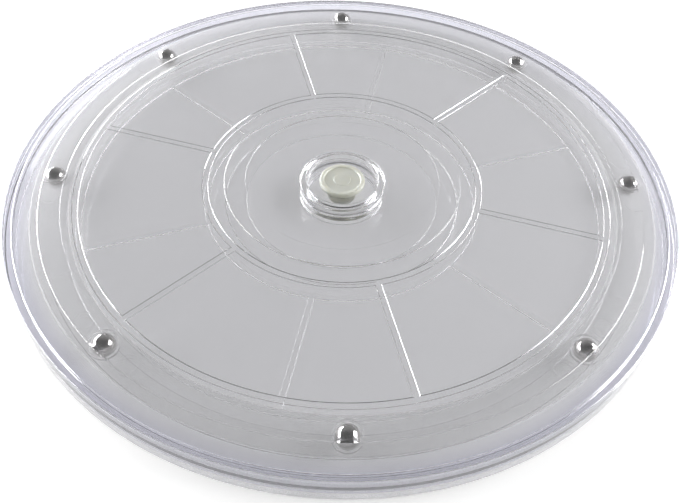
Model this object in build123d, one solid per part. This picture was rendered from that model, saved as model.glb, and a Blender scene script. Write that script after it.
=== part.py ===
from build123d import *
import math
import os

# Clear ball-bearing turntable: two like plates face to face, eight balls in a floating cage between
# them and a pin through the middle. Millimetres, +Z up, origin at the bottom centre.

# Plates
plate_diameter = 254.0
panel_thickness = 1.9
skirt_thickness = 2.9
rim_round = 0.5
inner_round = 0.5
parting_gap = 0.5

# Two raised rings on the outer face of each plate, which carry what stands on it
land_width = 8.3
land_height = 0.4
land_draft = 0.1
rim_margin = 12.3
inner_land_margin = 5.95

# Balls and the tracks they roll on
ball_count = 8
ball_diameter = 7.94
track_clearance = 0.05
nearest_ball_angle = -88.0

# Floating cage
cage_side_room = 4.0
cage_skirt_gap = 0.5
cage_width = 14.2
cage_thickness = 1.8
cage_round = 0.6
cage_float_angle = 78.0
pocket_clearance = 0.25
collar_width = 0.8
collar_height = 0.9
witness_diameter = 7.0
witness_height = 0.15
witness_spacing = 12.2

# Ribs on the inner faces of the plates
rib_count = 6
rib_width = 2.45
rib_height = 0.6
rib_foot = 0.4
inner_ring_radius = 51.7
outer_ring_gap = 3.35
top_rib_angle = -75.0
base_rib_angle = -40.0

# Cup that takes the pin, in a tube that reaches down to the other plate's tube
cup_radius = 13.8
cup_depth = 2.3
cup_wall = 2.6
cup_floor = 1.6
cup_round = 0.8
hub_gap = 0.3
hub_round = 0.8

# Pin and the cap on its lower end
pin_radius = 3.2
pin_running_clearance = 0.08
pin_end_play = 0.06
head_radius = 8.85
head_thickness = 1.7
head_round = 0.7
head_recess_radius = 7.3
head_recess_depth = 0.4
head_centre_radius = 3.4
head_centre_height = 0.15
spigot_radius = 2.0
spigot_chamfer = 0.4
cap_radius = 5.5

# Worked out from the sizes above
plate_radius = plate_diameter / 2
ball_radius = ball_diameter / 2
panel_under = ball_radius + track_clearance
panel_top = panel_under + panel_thickness
half_height = panel_top + land_height
skirt_end = parting_gap / 2
skirt_inner_radius = plate_radius - skirt_thickness
outer_land_radius = plate_radius - rim_margin
inner_land_radius = inner_ring_radius - inner_land_margin
hub_face = hub_gap / 2
hub_radius = cup_radius + cup_wall
cup_top = panel_top - cup_depth
cup_under = cup_top - cup_floor
bore_radius = pin_radius + pin_running_clearance
cage_outer_radius = skirt_inner_radius - cage_side_room
cage_inner_radius = cage_outer_radius - cage_width
ball_circle_radius = (cage_outer_radius + cage_inner_radius) / 2
cage_float = cage_side_room - cage_skirt_gap
cage_x = cage_float * math.cos(math.radians(cage_float_angle))
cage_y = cage_float * math.sin(math.radians(cage_float_angle))
pocket_radius = ball_radius + pocket_clearance
outer_ring_radius = cage_inner_radius - outer_ring_gap - rib_width
ball_angles = [nearest_ball_angle + 360 / ball_count * number for number in range(ball_count)]
rib_angles = [360 / rib_count * number for number in range(rib_count)]


def turned(points, rounds):
    """A solid of revolution about Z from (radius, height) points, with some corners rounded."""
    face = make_face(Plane.XZ * Polyline(*points, close=True))
    for (across, height), radius in rounds.items():
        vertex = face.vertices().sort_by_distance((across, 0, height))[0]
        face = fillet(vertex, radius)
    return revolve(face, Axis.Z)


def land_corners(outer):
    """Outline of one raised ring, from its outer foot to its inner foot."""
    inner = outer - land_width
    return [(outer, panel_top), (outer - land_draft, half_height), (inner + land_draft, half_height),
            (inner, panel_top)]


def plate_shell():
    """One plate without its ribs, inner face down and outer face up, heights from the middle plane."""
    hub_foot = (hub_radius, hub_face)
    hub_corner = (hub_radius, panel_under)
    skirt_corner = (skirt_inner_radius, panel_under)
    rim_corner = (plate_radius, panel_top)
    cup_edge = (cup_radius, panel_top)
    cup_corner = (cup_radius, cup_top)
    points = [
        (bore_radius, cup_under),
        (cup_radius, cup_under),
        (cup_radius, hub_face),
        hub_foot,
        hub_corner,
        skirt_corner,
        (skirt_inner_radius, skirt_end),
        (plate_radius, skirt_end),
        rim_corner,
        *land_corners(outer_land_radius),
        *land_corners(inner_land_radius),
        cup_edge,
        cup_corner,
        (bore_radius, cup_top),
    ]
    rounds = {hub_foot: hub_round, hub_corner: inner_round, skirt_corner: inner_round, rim_corner: rim_round,
              cup_edge: cup_round, cup_corner: inner_round}
    return turned(points, rounds)


def rib_bar(length):
    """One radial rib along X, wide at its root and drawn in towards its free edge."""
    root = rib_width / 2
    edge = rib_width / 2 - rib_foot * rib_height / 2
    low = panel_under - rib_height
    high = panel_under + panel_thickness / 2
    section = Polyline((-root, high), (-root, panel_under), (-edge, low), (edge, low), (root, panel_under),
                       (root, high), close=True)
    return extrude(make_face(Plane.YZ * section), length)


def ring_rib(inner):
    """One ring rib of the same section as the radial ribs."""
    draw_in = rib_foot * rib_height / 2
    low = panel_under - rib_height
    high = panel_under + panel_thickness / 2
    outer = inner + rib_width
    return turned([(inner, high), (inner, panel_under), (inner + draw_in, low), (outer - draw_in, low),
                   (outer, panel_under), (outer, high)], {})


def plate(first_rib_angle):
    """One whole plate, seen as the upper one, with its ribs starting at an angle."""
    start = inner_ring_radius + rib_width / 2
    end = outer_ring_radius + rib_width / 2
    bar = Pos(start, 0, 0) * rib_bar(end - start)
    bars = [Rot(0, 0, first_rib_angle + angle) * bar for angle in rib_angles]
    return plate_shell() + [ring_rib(inner_ring_radius), ring_rib(outer_ring_radius)] + bars


def on_ball_circle(angle):
    """A place on the circle of the balls, which lies off centre with the cage."""
    across = ball_circle_radius * math.cos(math.radians(angle))
    along = ball_circle_radius * math.sin(math.radians(angle))
    return Pos(cage_x + across, cage_y + along, 0)


def cage():
    """The floating ring with a ball-shaped pocket, a collar and two witness pads for each ball."""
    half = cage_thickness / 2
    points = [(cage_inner_radius, -half), (cage_outer_radius, -half), (cage_outer_radius, half),
              (cage_inner_radius, half)]
    body = Pos(cage_x, cage_y, 0) * turned(points, {point: cage_round for point in points})
    witness_step = math.degrees(witness_spacing / ball_circle_radius)
    collar = Cylinder(pocket_radius + collar_width, cage_thickness + 2 * collar_height)
    pad = Cylinder(witness_diameter / 2, cage_thickness + 2 * witness_height)
    added = []
    cuts = []
    for angle in ball_angles:
        added.append(on_ball_circle(angle) * collar)
        added += [on_ball_circle(angle + side * witness_step) * pad for side in (-1, 1)]
        cuts.append(on_ball_circle(angle) * Sphere(pocket_radius))
    return body + added - cuts


def pin():
    """The pin: a rounded head in the upper cup, a shank through both cups and a spigot for the cap."""
    seat = cup_top + pin_end_play
    top = seat + head_thickness
    recess = top - head_recess_depth
    centre = recess + head_centre_height
    shank_end = -cup_top
    spigot_end = shank_end - head_thickness
    head_edge = (head_radius, top)
    points = [
        (0, spigot_end),
        (spigot_radius, spigot_end),
        (spigot_radius, shank_end),
        (pin_radius, shank_end),
        (pin_radius, seat),
        (head_radius, seat),
        head_edge,
        (head_recess_radius, top),
        (head_recess_radius - head_recess_depth, recess),
        (head_centre_radius, recess),
        (head_centre_radius - head_centre_height, centre),
        (0, centre),
    ]
    body = turned(points, {head_edge: head_round})
    return chamfer(body.edges().group_by(Axis.Z)[0], spigot_chamfer)


def cap():
    """The cap pressed on the spigot, against the base plate's cup."""
    low = -cup_top - head_thickness
    edge = (cap_radius, low)
    points = [(spigot_radius, low), edge, (cap_radius, -cup_top), (spigot_radius, -cup_top)]
    return turned(points, {edge: head_round})


turn_over = Rot(180, 0, 0)
pieces = {
    "top_plate": plate(top_rib_angle),
    "base_plate": turn_over * plate(-base_rib_angle),
    "ball_cage": cage(),
    "pivot_pin": pin(),
    "pin_cap": cap(),
}
for number, angle in enumerate(ball_angles, start=1):
    pieces[f"ball_{number}"] = on_ball_circle(angle) * Sphere(ball_radius)

os.makedirs("parts", exist_ok=True)
for name, piece in pieces.items():
    export_step(Pos(0, 0, half_height) * piece, f"parts/{name}.step")
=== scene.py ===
"""A clear ball-bearing turntable: fine meshes for its plates, the finishes, the studio and the camera."""
import logging
import math
from dataclasses import dataclass
from enum import Enum
from itertools import pairwise
from typing import Any

import bpy
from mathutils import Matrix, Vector


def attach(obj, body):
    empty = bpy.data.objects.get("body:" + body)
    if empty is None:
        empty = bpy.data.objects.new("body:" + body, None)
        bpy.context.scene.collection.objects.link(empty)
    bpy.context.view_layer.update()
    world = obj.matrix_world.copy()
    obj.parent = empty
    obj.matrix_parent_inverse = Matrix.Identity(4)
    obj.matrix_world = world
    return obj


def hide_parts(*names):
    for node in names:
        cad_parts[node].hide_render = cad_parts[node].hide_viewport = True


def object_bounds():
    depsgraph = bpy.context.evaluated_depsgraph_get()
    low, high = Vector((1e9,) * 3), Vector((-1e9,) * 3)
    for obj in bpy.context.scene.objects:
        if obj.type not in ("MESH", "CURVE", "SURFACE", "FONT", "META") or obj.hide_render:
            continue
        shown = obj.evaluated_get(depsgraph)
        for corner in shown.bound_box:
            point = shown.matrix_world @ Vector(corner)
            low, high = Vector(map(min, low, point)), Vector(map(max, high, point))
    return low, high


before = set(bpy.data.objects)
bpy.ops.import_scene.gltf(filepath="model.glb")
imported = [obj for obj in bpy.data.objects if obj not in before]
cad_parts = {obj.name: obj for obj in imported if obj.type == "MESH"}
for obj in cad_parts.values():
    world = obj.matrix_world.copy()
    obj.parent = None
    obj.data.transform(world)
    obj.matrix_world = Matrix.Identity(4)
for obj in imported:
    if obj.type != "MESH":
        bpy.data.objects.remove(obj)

CAD_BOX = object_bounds()
MM = 0.001
TURN_STEPS = 360
ROUND_SEGMENTS = 4
SMOOTH_BELOW = math.radians(35)
WELD = 1e-4 * MM
LOG = logging.getLogger("turntable")


class Body(Enum):
    """The moving groups that carry the new plates."""

    BASE = "base"
    TOP = "top"


def linear(code: str) -> tuple[float, float, float, float]:
    """Turn an sRGB hex colour into linear light.

    Args:
        code: Six hex digits with a leading hash.

    Returns:
        Red, green and blue in linear light, and a full alpha.
    """
    shares = [int(code[start:start + 2], 16) / 255 for start in (1, 3, 5)]
    red, green, blue = [s / 12.92 if s <= 0.04045 else ((s + 0.055) / 1.055) ** 2.4 for s in shares]
    return red, green, blue, 1.0


def add_node(tree: bpy.types.NodeTree, kind: str, inputs: dict[Any, Any] | None = None,
             **settings: Any) -> bpy.types.Node:
    """Add one node with its settings, and fill or link its inputs.

    Args:
        tree: The node tree that takes the node.
        kind: Blender's type name of the node.
        inputs: Values or output sockets by the name or number of the input.
        **settings: Attributes of the node.

    Returns:
        The new node.
    """
    made = tree.nodes.new(kind)
    for name, value in settings.items():
        setattr(made, name, value)
    for name, value in (inputs or {}).items():
        if isinstance(value, bpy.types.NodeSocket):
            tree.links.new(value, made.inputs[name])
        else:
            made.inputs[name].default_value = value
    return made


def new_material(name: str) -> bpy.types.Material:
    """Make an empty node material.

    Args:
        name: The material's name.

    Returns:
        A material whose node tree is empty.
    """
    material = bpy.data.materials.new(name)
    material.use_nodes = True
    material.node_tree.nodes.clear()
    return material


@dataclass(frozen=True)
class ClearPlastic:
    """Clear polystyrene, injection moulded: glossy, faintly wavy, with a haze of fine scratches from use."""

    # The eye sees the paper through it, white and dark lines at its edges and a faint violet in the rim.
    name: str
    ior: float = 1.55
    roughness: float = 0.06
    tint: str = "#FAFAFC"
    rim_tint: str = "#EFEFF6"
    shade: str = "#F9F9F9"
    haze: float = 0.012
    dust: float = 0.10
    dust_mm: tuple[float, float] = (2.35, 3.0)
    ribbed_mm: tuple[float, float] = (51.0, 103.0)
    rim_mm: tuple[float, float] = (118.0, 124.0)
    wave_mm: float = 30.0
    wave_height_mm: float = 0.02
    most_mirrored: float = 3.5
    slant_power: float = 4.0

    def material(self) -> bpy.types.Material:
        """Build the material."""
        material = new_material(self.name)
        tree = material.node_tree
        place = add_node(tree, "ShaderNodeTexCoord")
        wave = add_node(tree, "ShaderNodeTexNoise", {"Vector": place.outputs["Object"],
                                                     "Scale": 1 / (self.wave_mm * MM), "Detail": 1.0})
        bump = add_node(tree, "ShaderNodeBump", {"Height": wave.outputs["Fac"], "Strength": 1.0,
                                                 "Distance": self.wave_height_mm * MM})
        glass = add_node(tree, "ShaderNodeBsdfPrincipled", {
            "Base Color": self.colour(tree, place), "Roughness": self.roughness, "IOR": self.ior,
            "Transmission Weight": self.clearness(tree, place), "Normal": bump.outputs["Normal"]})
        passing = add_node(tree, "ShaderNodeBsdfTransparent", {"Color": self.loss(tree)})
        surface = add_node(tree, "ShaderNodeMixShader", {0: self.straight_through(tree), 1: glass.outputs[0],
                                                         2: passing.outputs[0]})
        add_node(tree, "ShaderNodeOutputMaterial", {"Surface": surface.outputs[0]})
        return material

    def colour(self, tree: bpy.types.NodeTree, place: bpy.types.Node) -> bpy.types.NodeSocket:
        """Tint the plastic, a little more in the thick rim.

        Args:
            tree: The material's nodes.
            place: The coordinates.

        Returns:
            The colour.
        """
        rim = add_node(tree, "ShaderNodeMapRange", {"Value": self.radius(tree, place),
                                                    "From Min": self.rim_mm[0] * MM,
                                                    "From Max": self.rim_mm[1] * MM})
        mix = add_node(tree, "ShaderNodeMix", {"Factor": rim.outputs[0], 6: linear(self.tint),
                                               7: linear(self.rim_tint)}, data_type="RGBA")
        return mix.outputs[2]

    def radius(self, tree: bpy.types.NodeTree, place: bpy.types.Node) -> bpy.types.NodeSocket:
        """Measure the distance from the turning axis.

        Args:
            tree: The material's nodes.
            place: The coordinates.

        Returns:
            The distance in metres.
        """
        flat = add_node(tree, "ShaderNodeVectorMath", {0: place.outputs["Object"], 1: (1, 1, 0)},
                        operation="MULTIPLY")
        length = add_node(tree, "ShaderNodeVectorMath", {0: flat.outputs[0]}, operation="LENGTH")
        return length.outputs["Value"]

    def clearness(self, tree: bpy.types.NodeTree, place: bpy.types.Node) -> bpy.types.NodeSocket:
        """Tell how much light goes through, less where dust lies on the ribs of the base.

        Args:
            tree: The material's nodes.
            place: The coordinates.

        Returns:
            The share that is neither haze nor dust.
        """
        height = add_node(tree, "ShaderNodeSeparateXYZ", {0: place.outputs["Object"]})
        spans = ((height.outputs["Z"], self.dust_mm), (self.radius(tree, place), self.ribbed_mm))
        inside = []
        for value, (low, high) in spans:
            middle = (low + high) / 2 * MM
            reach = (high - low) / 2 * MM
            span = add_node(tree, "ShaderNodeMath", {0: value, 1: middle, 2: reach}, operation="COMPARE")
            inside.append(span.outputs[0])
        dusty = add_node(tree, "ShaderNodeMath", {0: inside[0], 1: inside[1]}, operation="MULTIPLY")
        clear = add_node(tree, "ShaderNodeMapRange", {"Value": dusty.outputs[0], "To Min": 1 - self.haze,
                                                      "To Max": 1 - self.dust})
        return clear.outputs[0]

    def loss(self, tree: bpy.types.NodeTree) -> bpy.types.NodeSocket:
        """Dim the light that passes a face, the more the flatter it comes in.

        Args:
            tree: The material's nodes.

        Returns:
            The colour of the light that is left.
        """
        slant = add_node(tree, "ShaderNodeLayerWeight", {"Blend": 0.5})
        mirrored = add_node(tree, "ShaderNodeMath", {0: slant.outputs["Facing"], 1: self.slant_power},
                            operation="POWER")
        left = add_node(tree, "ShaderNodeMix", {"Factor": mirrored.outputs[0], 6: linear(self.shade),
                                                7: (0, 0, 0, 1)}, data_type="RGBA")
        return left.outputs[2]

    def straight_through(self, tree: bpy.types.NodeTree) -> bpy.types.NodeSocket:
        """Tell the rays that pass unbent: lamp light, light from the paper, and light caught in the plate.

        Args:
            tree: The material's nodes.

        Returns:
            1 for those rays and 0 for what the camera looks at.
        """
        path = add_node(tree, "ShaderNodeLightPath")
        lit = add_node(tree, "ShaderNodeMath", {0: path.outputs["Is Shadow Ray"],
                                                1: path.outputs["Is Diffuse Ray"]}, operation="MAXIMUM")
        caught = add_node(tree, "ShaderNodeMath", {0: path.outputs["Glossy Depth"], 1: self.most_mirrored},
                          operation="GREATER_THAN")
        either = add_node(tree, "ShaderNodeMath", {0: lit.outputs[0], 1: caught.outputs[0]},
                          operation="MAXIMUM")
        return either.outputs[0]


@dataclass(frozen=True)
class NaturalPolypropylene:
    """Uncoloured polypropylene, injection moulded: thin, milky, and whiter where it is seen edge on."""

    # The eye sees a faint white veil between the plates, stronger along the cage's edges.
    name: str
    colour: str = "#F4F4F5"
    roughness: float = 0.35
    ior: float = 1.49
    milk: float = 0.2
    edge_milk: float = 0.6
    edge_blend: float = 0.3
    translucence: float = 0.5

    def material(self) -> bpy.types.Material:
        """Build the material."""
        material = new_material(self.name)
        tree = material.node_tree
        edge = add_node(tree, "ShaderNodeLayerWeight", {"Blend": self.edge_blend})
        path = add_node(tree, "ShaderNodeLightPath")
        solid = add_node(tree, "ShaderNodeMapRange", {"Value": path.outputs["Is Shadow Ray"],
                                                      "To Min": self.edge_milk, "To Max": self.milk})
        cover = add_node(tree, "ShaderNodeMapRange", {"Value": edge.outputs["Facing"], "To Min": self.milk,
                                                      "To Max": solid.outputs[0]})
        milky = add_node(tree, "ShaderNodeBsdfPrincipled", {
            "Base Color": linear(self.colour), "Roughness": self.roughness, "IOR": self.ior})
        lit_through = add_node(tree, "ShaderNodeBsdfTranslucent", {"Color": linear(self.colour)})
        plastic = add_node(tree, "ShaderNodeMixShader", {0: self.translucence, 1: milky.outputs[0],
                                                         2: lit_through.outputs[0]})
        clear = add_node(tree, "ShaderNodeBsdfTransparent")
        surface = add_node(tree, "ShaderNodeMixShader", {0: cover.outputs[0], 1: clear.outputs[0],
                                                         2: plastic.outputs[0]})
        add_node(tree, "ShaderNodeOutputMaterial", {"Surface": surface.outputs[0]})
        return material


@dataclass(frozen=True)
class PolishedSteel:
    """Bearing steel, ground and polished: a mirror with a very fine haze."""

    # The eye sees small round mirrors of the lamps and the dark room. Real polishing marks are finer
    # than a pixel, so the haze is drawn this coarse in order to show.
    name: str
    colour: str = "#CFCDCA"
    haze_mm: float = 0.6
    roughness: tuple[float, float] = (0.03, 0.10)

    def material(self) -> bpy.types.Material:
        """Build the material."""
        material = new_material(self.name)
        tree = material.node_tree
        place = add_node(tree, "ShaderNodeTexCoord")
        haze = add_node(tree, "ShaderNodeTexNoise", {"Vector": place.outputs["Object"],
                                                     "Scale": 1 / (self.haze_mm * MM), "Detail": 3.0})
        rough = add_node(tree, "ShaderNodeMapRange", {
            "Value": haze.outputs["Fac"], "To Min": self.roughness[0], "To Max": self.roughness[1]})
        steel = add_node(tree, "ShaderNodeBsdfPrincipled", {
            "Base Color": linear(self.colour), "Metallic": 1.0, "Roughness": rough.outputs[0]})
        add_node(tree, "ShaderNodeOutputMaterial", {"Surface": steel.outputs[0]})
        return material


@dataclass(frozen=True)
class NaturalNylon:
    """Uncoloured nylon, injection moulded: off-white, satin and a little translucent."""

    # The eye sees a soft, faintly cloudy off-white that light sinks into and partly passes.
    name: str
    colour: str = "#D4D5CF"
    shade: str = "#C8C9C1"
    cloud_mm: float = 4.0
    roughness: float = 0.32
    ior: float = 1.53
    grain_strength: float = 0.4
    grain_mm: float = 0.05
    scatter: float = 0.9
    scatter_mm: float = 4.0
    scatter_reach: tuple[float, float, float] = (1.0, 0.95, 0.8)
    glow: str = "#E8E8E0"
    translucence: float = 0.15
    shadow_pass: float = 0.9

    def material(self) -> bpy.types.Material:
        """Build the material."""
        material = new_material(self.name)
        tree = material.node_tree
        place = add_node(tree, "ShaderNodeTexCoord")
        cloud = add_node(tree, "ShaderNodeTexNoise", {"Vector": place.outputs["Object"],
                                                      "Scale": 1 / (self.cloud_mm * MM), "Detail": 4.0})
        colour = add_node(tree, "ShaderNodeMix", {"Factor": cloud.outputs["Fac"], 6: linear(self.colour),
                                                  7: linear(self.shade)}, data_type="RGBA")
        bump = add_node(tree, "ShaderNodeBump", {
            "Height": cloud.outputs["Fac"], "Strength": self.grain_strength, "Distance": self.grain_mm * MM})
        nylon = add_node(tree, "ShaderNodeBsdfPrincipled", {
            "Base Color": colour.outputs[2], "Roughness": self.roughness, "IOR": self.ior,
            "Subsurface Weight": self.scatter, "Subsurface Radius": self.scatter_reach,
            "Subsurface Scale": self.scatter_mm * MM, "Normal": bump.outputs["Normal"]})
        lit_through = add_node(tree, "ShaderNodeBsdfTranslucent", {"Color": linear(self.glow)})
        body = add_node(tree, "ShaderNodeMixShader", {0: self.translucence, 1: nylon.outputs[0],
                                                      2: lit_through.outputs[0]})
        path = add_node(tree, "ShaderNodeLightPath")
        let_by = add_node(tree, "ShaderNodeMath", {0: path.outputs["Is Shadow Ray"], 1: self.shadow_pass},
                          operation="MULTIPLY")
        passing = add_node(tree, "ShaderNodeBsdfTransparent", {"Color": linear(self.colour)})
        surface = add_node(tree, "ShaderNodeMixShader", {0: let_by.outputs[0], 1: body.outputs[0],
                                                         2: passing.outputs[0]})
        add_node(tree, "ShaderNodeOutputMaterial", {"Surface": surface.outputs[0]})
        return material


@dataclass(frozen=True)
class WhitePaper:
    """White backdrop paper: matt, and lifted to plain white where it is seen, less so through the plates."""

    # The eye sees plain white with the turntable's soft shadow beside it.
    name: str
    colour: str = "#F4F4F4"
    lift: float = 0.4
    far_lift: float = 0.95
    far_m: tuple[float, float] = (0.35, 0.9)
    covered_lift: float = 0.28

    def material(self) -> bpy.types.Material:
        """Build the material."""
        material = new_material(self.name)
        tree = material.node_tree
        paper = add_node(tree, "ShaderNodeBsdfDiffuse", {"Color": linear(self.colour)})
        path = add_node(tree, "ShaderNodeLightPath")
        place = add_node(tree, "ShaderNodeTexCoord")
        away = add_node(tree, "ShaderNodeVectorMath", {0: place.outputs["Object"]}, operation="LENGTH")
        paper_lift = add_node(tree, "ShaderNodeMapRange", {
            "Value": away.outputs["Value"], "From Min": self.far_m[0], "From Max": self.far_m[1],
            "To Min": self.lift, "To Max": self.far_lift})
        mirrored = add_node(tree, "ShaderNodeMath", {0: path.outputs["Is Glossy Ray"], 1: self.lift},
                            operation="MULTIPLY")
        seen = add_node(tree, "ShaderNodeMath", {0: path.outputs["Is Camera Ray"], 1: paper_lift.outputs[0],
                                                 2: mirrored.outputs[0]}, operation="MULTIPLY_ADD")
        lift = add_node(tree, "ShaderNodeMix", {"Factor": path.outputs["Is Transmission Ray"],
                                                2: seen.outputs[0], 3: self.covered_lift})
        glow = add_node(tree, "ShaderNodeEmission", {"Color": (1, 1, 1, 1), "Strength": lift.outputs[0]})
        surface = add_node(tree, "ShaderNodeAddShader", {0: paper.outputs[0], 1: glow.outputs[0]})
        add_node(tree, "ShaderNodeOutputMaterial", {"Surface": surface.outputs[0]})
        return material


@dataclass(frozen=True)
class Corner:
    """One corner of a turned outline, in millimetres from the axis and from the middle plane."""

    radius: float
    height: float
    rounding: float = 0.0


@dataclass(frozen=True)
class RingEdge:
    """One edge of a raised ring, in millimetres: a small step, then a slope that rolls on to the top."""

    step: float
    slope: float
    rounding: float


def select_points(mesh: bpy.types.Mesh, places: list[tuple[float, float, float]]) -> None:
    """Select the points of a mesh that lie at some places, and no others. Ends in edit mode.

    Args:
        mesh: The mesh, of the active object.
        places: Places in metres.
    """
    bpy.ops.object.mode_set(mode="EDIT")
    bpy.ops.mesh.select_mode(type="VERT")
    bpy.ops.mesh.select_all(action="DESELECT")
    bpy.ops.object.mode_set(mode="OBJECT")
    for place in places:
        nearest = min(mesh.vertices, key=lambda point: (point.co - Vector(place)).length)
        nearest.select = True
    bpy.ops.object.mode_set(mode="EDIT")


def turn_outline(name: str, corners: list[Corner]) -> bpy.types.Object:
    """Draw a closed outline corner by corner, round its corners and spin it about the upright axis.

    Args:
        name: The new piece's name.
        corners: The outline in order.

    Returns:
        The turned piece, closed, with its middle plane at height 0.
    """
    places = [(corner.radius * MM, 0.0, corner.height * MM) for corner in corners]
    bpy.ops.object.select_all(action="DESELECT")
    bpy.ops.mesh.primitive_plane_add(size=MM)
    piece = bpy.context.object
    piece.name = name
    bpy.ops.object.mode_set(mode="EDIT")
    bpy.ops.mesh.merge(type="CENTER")
    bpy.ops.transform.translate(value=places[0])
    for here, there in pairwise(places):
        step = [end - start for start, end in zip(here, there)]
        bpy.ops.mesh.extrude_vertices_move(TRANSFORM_OT_translate={"value": step})
    select_points(piece.data, [places[0], places[-1]])
    bpy.ops.mesh.edge_face_add()
    for rounding in sorted({corner.rounding for corner in corners if corner.rounding}):
        select_points(piece.data, [p for p, corner in zip(places, corners) if corner.rounding == rounding])
        bpy.ops.mesh.bevel(offset=rounding * MM, segments=ROUND_SEGMENTS, affect="VERTICES",
                           clamp_overlap=False)
    bpy.ops.mesh.select_all(action="SELECT")
    bpy.ops.mesh.spin(steps=TURN_STEPS, angle=math.tau, center=(0, 0, 0), axis=(0, 0, 1))
    bpy.ops.mesh.select_all(action="SELECT")
    bpy.ops.mesh.remove_doubles(threshold=WELD)
    bpy.ops.mesh.normals_make_consistent(inside=False)
    bpy.ops.object.mode_set(mode="OBJECT")
    return piece


def apply_modifier(piece: bpy.types.Object, kind: str, **settings: Any) -> None:
    """Add one modifier to a piece and apply it.

    Args:
        piece: The piece.
        kind: Blender's type name of the modifier.
        **settings: Attributes of the modifier.
    """
    bpy.ops.object.select_all(action="DESELECT")
    piece.select_set(True)
    bpy.context.view_layer.objects.active = piece
    modifier = piece.modifiers.new(kind.title(), kind)
    for name, value in settings.items():
        setattr(modifier, name, value)
    bpy.ops.object.modifier_apply(modifier=modifier.name)


def smooth(piece: bpy.types.Object) -> None:
    """Shade a piece smooth over its roundings, with its flat faces kept flat.

    Args:
        piece: The piece.
    """
    bpy.ops.object.select_all(action="DESELECT")
    piece.select_set(True)
    bpy.context.view_layer.objects.active = piece
    bpy.ops.object.shade_smooth_by_angle(angle=SMOOTH_BELOW)
    apply_modifier(piece, "WEIGHTED_NORMAL", mode="FACE_AREA", weight=100, keep_sharp=True)


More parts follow.
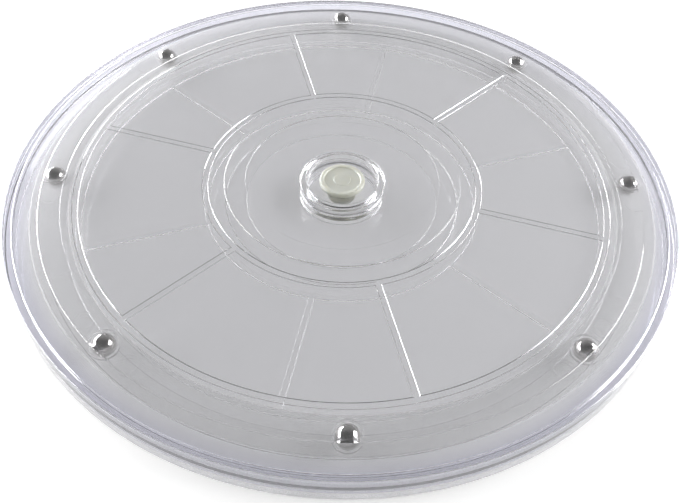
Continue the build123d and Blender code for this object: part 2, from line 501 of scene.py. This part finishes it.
@dataclass
class ClearPlates:
    """The two clear plates: a ribbed panel with two raised rings, a skirt and the cup for the pin.

    Sizes are millimetres and degrees. One moulding serves twice: upright on top, turned over as the base.
    """

    plastic: ClearPlastic
    top_rib_angle: float = -75.0
    base_rib_angle: float = -40.0
    panel_thickness: float = 1.9
    skirt_thickness: float = 2.9
    skirt_end: float = 0.25
    rim_round: float = 0.5
    inner_round: float = 0.5
    fine_round: float = 0.15
    step_round: float = 0.04
    land_width: float = 8.3
    land_height: float = 0.4
    steep_edge: RingEdge = RingEdge(0.32, 0.08, 0.04)
    soft_edge: RingEdge = RingEdge(0.06, 0.34, 0.40)
    round_edge: RingEdge = RingEdge(0.06, 0.2, 0.32)
    rim_margin: float = 12.3
    inner_land: float = 45.75
    rib_count: int = 6
    rib_width: float = 2.45
    rib_height: float = 0.6
    rib_foot: float = 0.12
    rib_round: float = 0.35
    inner_ring: float = 51.7
    outer_ring: float = 100.1
    cup_radius: float = 13.8
    cup_depth: float = 2.3
    cup_wall: float = 2.6
    cup_floor: float = 1.6
    cup_round: float = 0.8
    hub_face: float = 0.15
    hub_round: float = 0.8
    bore_radius: float = 3.28

    def __post_init__(self) -> None:
        """Work out the plate's outer sizes and heights from its solid."""
        low, high = CAD_BOX
        self.radius = (high[0] - low[0]) / 2 / MM
        self.height = (high[2] - low[2]) / 2 / MM
        self.panel_top = self.height - self.land_height
        self.panel_under = self.panel_top - self.panel_thickness

    def ring_corners(self, inner: float) -> list[Corner]:
        """Give the corners of one ring rib under the panel.

        Args:
            inner: The rib's inner radius.

        Returns:
            Four corners, outwards.
        """
        low = self.panel_under - self.rib_height
        outer = inner + self.rib_width
        return [Corner(inner, self.panel_under),
                Corner(inner + self.rib_foot, low, self.rib_round),
                Corner(outer - self.rib_foot, low, self.rib_round),
                Corner(outer, self.panel_under)]

    def land_corners(self, outer: float, outer_edge: RingEdge, inner_edge: RingEdge) -> list[Corner]:
        """Give the corners of one raised ring on the panel.

        Args:
            outer: The ring's outer radius.
            outer_edge: The form of its outer edge.
            inner_edge: The form of its inner edge.

        Returns:
            Six corners, inwards.
        """
        inner = outer - self.land_width
        return [Corner(outer, self.panel_top),
                Corner(outer, self.panel_top + outer_edge.step, self.step_round),
                Corner(outer - outer_edge.slope, self.height, outer_edge.rounding),
                Corner(inner + inner_edge.slope, self.height, inner_edge.rounding),
                Corner(inner, self.panel_top + inner_edge.step, self.step_round),
                Corner(inner, self.panel_top)]

    def corners(self) -> list[Corner]:
        """Give the outline of the turned plate, from the bore outwards below and back above."""
        fine = self.fine_round
        hub = self.cup_radius + self.cup_wall
        skirt = self.radius - self.skirt_thickness
        cup_top = self.panel_top - self.cup_depth
        cup_under = cup_top - self.cup_floor
        hub_corners = [Corner(self.bore_radius, cup_under),
                       Corner(self.cup_radius, cup_under, self.inner_round),
                       Corner(self.cup_radius, self.hub_face, fine),
                       Corner(hub, self.hub_face, self.hub_round),
                       Corner(hub, self.panel_under, self.inner_round)]
        skirt_corners = [Corner(skirt, self.panel_under, self.inner_round),
                         Corner(skirt, self.skirt_end, fine),
                         Corner(self.radius, self.skirt_end, fine),
                         Corner(self.radius, self.panel_top, self.rim_round)]
        cup_corners = [Corner(self.cup_radius, self.panel_top, self.cup_round),
                       Corner(self.cup_radius, cup_top, self.inner_round),
                       Corner(self.bore_radius, cup_top)]
        return (hub_corners + self.ring_corners(self.inner_ring) + self.ring_corners(self.outer_ring)
                + skirt_corners
                + self.land_corners(self.radius - self.rim_margin, self.soft_edge, self.steep_edge)
                + self.land_corners(self.inner_land, self.round_edge, self.steep_edge) + cup_corners)

    def rib_bars(self) -> bpy.types.Object:
        """Model one radial rib and copy it round, as one loose set of bars.

        Returns:
            The bars, which reach into both ring ribs and half way into the panel.
        """
        start = self.inner_ring + self.rib_width / 2
        end = self.outer_ring + self.rib_width / 2
        low = self.panel_under - self.rib_height
        high = self.panel_under + self.panel_thickness / 2
        middle = ((start + end) / 2 * MM, 0.0, (low + high) / 2 * MM)
        bpy.ops.object.select_all(action="DESELECT")
        bpy.ops.mesh.primitive_cube_add(size=1.0, location=middle)
        bar = bpy.context.object
        bar.scale = ((end - start) * MM, self.rib_width * MM, (high - low) * MM)
        bpy.ops.object.transform_apply(location=True, rotation=True, scale=True)
        lower = [point.co[:] for point in bar.data.vertices if point.co.z < middle[2]]
        select_points(bar.data, lower)
        drawn_in = 1 - 2 * self.rib_foot / self.rib_width
        bpy.ops.transform.resize(value=(1, drawn_in, 1), center_override=(middle[0], 0, low * MM))
        bpy.ops.object.mode_set(mode="OBJECT")
        self.round_lower_edges(bar, low * MM)
        bars = [bar]
        for number in range(1, self.rib_count):
            copy = bar.copy()
            copy.data = bar.data.copy()
            copy.rotation_euler.z = math.tau / self.rib_count * number
            bpy.context.scene.collection.objects.link(copy)
            bars.append(copy)
        for each in bars:
            each.select_set(True)
        bpy.context.view_layer.objects.active = bar
        bpy.ops.object.join()
        bpy.ops.object.transform_apply(location=True, rotation=True, scale=True)
        return bar

    def round_lower_edges(self, bar: bpy.types.Object, low: float) -> None:
        """Round the two long lower edges of one rib.

        Args:
            bar: The rib.
            low: Height of its lower face, in metres.
        """
        bpy.ops.object.mode_set(mode="EDIT")
        bpy.ops.mesh.select_mode(type="EDGE")
        bpy.ops.mesh.select_all(action="DESELECT")
        bpy.ops.object.mode_set(mode="OBJECT")
        points = bar.data.vertices
        for edge in bar.data.edges:
            one, other = (points[index].co for index in edge.vertices)
            edge.select = abs(one.z + other.z - 2 * low) < WELD and abs(one.y - other.y) < WELD
        bpy.ops.object.mode_set(mode="EDIT")
        bpy.ops.mesh.bevel(offset=self.rib_round * MM, segments=ROUND_SEGMENTS, affect="EDGES")
        bpy.ops.object.mode_set(mode="OBJECT")

    def mould(self) -> bpy.types.Object:
        """Model the moulding, its inner face down and its middle plane at height 0.

        Returns:
            One closed piece, ribs and all.
        """
        plate = turn_outline("clear_top_plate", self.corners())
        bars = self.rib_bars()
        apply_modifier(plate, "BOOLEAN", operation="UNION", solver="EXACT", object=bars)
        bpy.data.objects.remove(bars)
        return plate

    def place(self, plate: bpy.types.Object, node: str, body: Body,
              turn: tuple[float, float, float]) -> None:
        """Put one plate in the place of its solid.

        Args:
            plate: The plate.
            node: The solid that it stands for.
            body: The moving group that carries it.
            turn: Its turns about the three axes, in degrees.
        """
        bpy.ops.object.select_all(action="DESELECT")
        plate.select_set(True)
        bpy.context.view_layer.objects.active = plate
        plate.rotation_euler = [math.radians(angle) for angle in turn]
        plate.location.z = self.height * MM
        bpy.ops.object.transform_apply(location=True, rotation=True, scale=True)
        smooth(plate)
        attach(plate, body.value)
        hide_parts(node)
        LOG.info("%s: %d faces", plate.name, len(plate.data.polygons))

    def build(self) -> None:
        """Model and dress both plates."""
        top = self.mould()
        top.data.materials.append(self.plastic.material())
        base = top.copy()
        base.data = top.data.copy()
        base.name = "clear_base_plate"
        bpy.context.scene.collection.objects.link(base)
        self.place(top, "top_plate", Body.TOP, (0.0, 0.0, self.top_rib_angle))
        self.place(base, "base_plate", Body.BASE, (180.0, 0.0, self.base_rib_angle))


def dress_node(node: str, material: bpy.types.Material) -> None:
    """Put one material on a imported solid.

    Args:
        node: The solid's name.
        material: Its finish.
    """
    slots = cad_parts[node].data.materials
    slots.clear()
    slots.append(material)
    LOG.info("%s wears %s", node, material.name)


@dataclass
class BallRace:
    """The steel balls and their milky cage."""

    steel: PolishedSteel
    plastic: NaturalPolypropylene

    def dress(self) -> None:
        """Give the cage its plastic and every ball its steel."""
        dress_node("ball_cage", self.plastic.material())
        material = self.steel.material()
        for node in sorted(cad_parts):
            if node.startswith("ball_") and node != "ball_cage":
                dress_node(node, material)


@dataclass
class PivotPin:
    """The pin and its cap."""

    nylon: NaturalNylon

    def dress(self) -> None:
        """Give the pin and cap their nylon."""
        material = self.nylon.material()
        for node in ("pivot_pin", "pin_cap"):
            dress_node(node, material)


@dataclass(frozen=True)
class Softbox:
    """One large soft lamp that points at the object."""

    name: str
    place: tuple[float, float, float]
    size: tuple[float, float]
    power: float

    def build(self) -> None:
        """Add the lamp."""
        data = bpy.data.lights.new(self.name, "AREA")
        data.shape = "RECTANGLE"
        data.size, data.size_y = self.size
        data.energy = self.power
        lamp = bpy.data.objects.new(self.name, data)
        lamp.location = self.place
        bpy.context.scene.collection.objects.link(lamp)
        bpy.context.view_layer.update()
        lamp.rotation_mode = "QUATERNION"
        lamp.rotation_quaternion = (-lamp.location).to_track_quat("-Z", "Y")


@dataclass
class Studio:
    """The paper floor, the soft lamps, the room light and the camera."""

    paper: WhitePaper
    softboxes: tuple[Softbox, ...]
    back_light: float = 0.32
    front_light: float = 0.05
    front_to_back: tuple[float, float] = (-0.2, 1.0)
    floor_size: float = 6.0
    floor_drop: float = 0.2 * MM
    lens: float = 44.346
    sensor: float = 36.0
    nearest_seen: float = 0.01
    camera_place: tuple[float, float, float] = (-0.09 * MM, -238.05 * MM, 234.55 * MM)
    camera_turn: tuple[float, float, float] = (41.904, -1.507, 1.654)

    def build(self) -> None:
        """Set up the studio."""
        self.floor()
        for softbox in self.softboxes:
            softbox.build()
        self.room()
        self.camera()
        bpy.context.scene.view_settings.view_transform = "Standard"

    def floor(self) -> None:
        """Lay the paper just under the base."""
        bpy.ops.object.select_all(action="DESELECT")
        bpy.ops.mesh.primitive_plane_add(size=self.floor_size, location=(0, 0, -self.floor_drop))
        floor = bpy.context.object
        floor.name = "paper_floor"
        floor.data.materials.append(self.paper.material())

    def room(self) -> None:
        """Fill the room with light, darker at the front, and white where the camera sees it."""
        world = bpy.data.worlds.new("studio_room")
        bpy.context.scene.world = world
        world.use_nodes = True
        tree = world.node_tree
        tree.nodes.clear()
        way = add_node(tree, "ShaderNodeTexCoord")
        along = add_node(tree, "ShaderNodeSeparateXYZ", {0: way.outputs["Generated"]})
        level = add_node(tree, "ShaderNodeMapRange", {
            "Value": along.outputs["Y"],
            "From Min": self.front_to_back[0], "From Max": self.front_to_back[1],
            "To Min": self.front_light, "To Max": self.back_light}, interpolation_type="SMOOTHSTEP")
        path = add_node(tree, "ShaderNodeLightPath")
        seen = add_node(tree, "ShaderNodeMix", {"Factor": path.outputs["Is Camera Ray"],
                                                2: level.outputs[0], 3: 1.0})
        light = add_node(tree, "ShaderNodeBackground", {"Color": (1, 1, 1, 1),
                                                        "Strength": seen.outputs[0]})
        add_node(tree, "ShaderNodeOutputWorld", {"Surface": light.outputs[0]})

    def camera(self) -> None:
        """Stand the camera where the photograph was taken from."""
        data = bpy.data.cameras.new("photo_camera")
        data.lens = self.lens
        data.sensor_width = self.sensor
        data.clip_start = self.nearest_seen
        camera = bpy.data.objects.new("photo_camera", data)
        camera.location = self.camera_place
        camera.rotation_euler = [math.radians(angle) for angle in self.camera_turn]
        bpy.context.scene.collection.objects.link(camera)
        bpy.context.scene.camera = camera


def main() -> None:
    """Model and dress the turntable and set up its studio."""
    logging.basicConfig(level=logging.INFO, format="%(name)s: %(message)s")
    ClearPlates(ClearPlastic("clear_polystyrene_moulded")).build()
    BallRace(PolishedSteel("bearing_steel_polished"),
             NaturalPolypropylene("natural_polypropylene_moulded")).dress()
    PivotPin(NaturalNylon("natural_nylon_moulded")).dress()
    softboxes = (Softbox("left_softbox", (-0.76, 0.3, 0.19), (1.4, 0.36), 23.0),
                 Softbox("right_softbox", (0.78, 0.06, 0.28), (0.65, 0.56), 10.0))
    Studio(WhitePaper("white_backdrop_paper"), softboxes).build()


if __name__ == "__main__":
    main()
